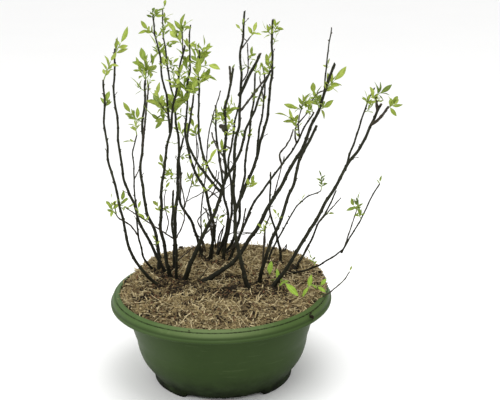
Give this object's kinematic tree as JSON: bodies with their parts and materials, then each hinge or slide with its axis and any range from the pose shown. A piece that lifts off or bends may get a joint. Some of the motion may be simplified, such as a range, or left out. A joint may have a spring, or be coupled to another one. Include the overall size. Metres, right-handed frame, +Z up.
{
  "type": "blueberry bush in a pot",
  "caption": "Pruned blueberry bush with upright dark canes, thin side boughs and young leaves, growing in mulch in a round bowl pot.",
  "frame": {"origin": "on the pot's axis, in the plane of its flat underside", "axes": "+Z up along the bush; -Y towards the front of the bush, +X to its right as seen from the front"},
  "size_m": [0.513, 0.418, 0.69],
  "materials": {
    "pot": "matte",
    "soil": "rough shredded fibre",
    "bark": "dull bark",
    "foliage": "satin leaf"
  },
  "bodies": {
    "root": {"bough_cut_stub": "bark", "bough_far_right": "bark", "bough_front_left": "bark", "bough_front_right": "bark", "bough_middle_high": "bark", "bough_right_inner": "bark", "bough_right_top": "bark", "bough_right_whip": "bark", "bough_top_front": "bark", "cane_back_left": "bark", "cane_back_right": "bark", "cane_far_right": "bark", "cane_left_back": "bark", "cane_left_front": "bark", "cane_left_outer": "bark", "cane_left_short": "bark", "cane_left_tall": "bark", "cane_left_thick": "bark", "cane_left_thin": "bark", "cane_low_right": "bark", "cane_low_right_tip": "bark", "cane_middle_back": "bark", "cane_middle_front": "bark", "cane_middle_right": "bark", "cane_middle_tall": "bark", "cane_right_arching": "bark", "cane_right_crooked": "bark", "cane_right_front": "bark", "cane_right_leader": "bark", "cane_right_long": "bark", "cane_right_low_back": "bark", "cane_right_short": "bark", "leaves_back_top": "foliage", "leaves_centre_low": "foliage", "leaves_far_right": "foliage", "leaves_far_right_inner": "foliage", "leaves_heart_lower": "foliage", "leaves_heart_right": "foliage", "leaves_heart_upper": "foliage", "leaves_left_back": "foliage", "leaves_left_front_top": "foliage", "leaves_left_inner": "foliage", "leaves_left_low": "foliage", "leaves_left_mid": "foliage", "leaves_left_outer_top": "foliage", "leaves_low_front": "foliage", "leaves_low_right": "foliage", "leaves_middle_back": "foliage", "leaves_middle_high": "foliage", "leaves_right_back": "foliage", "leaves_right_leader": "foliage", "leaves_right_outer": "foliage", "leaves_right_outer_back": "foliage", "leaves_right_top": "foliage", "leaves_right_upper": "foliage", "leaves_top_back": "foliage", "leaves_top_front": "foliage", "leaves_top_middle": "foliage", "pot": "pot", "soil": "soil"}
  },
  "joints": []
}
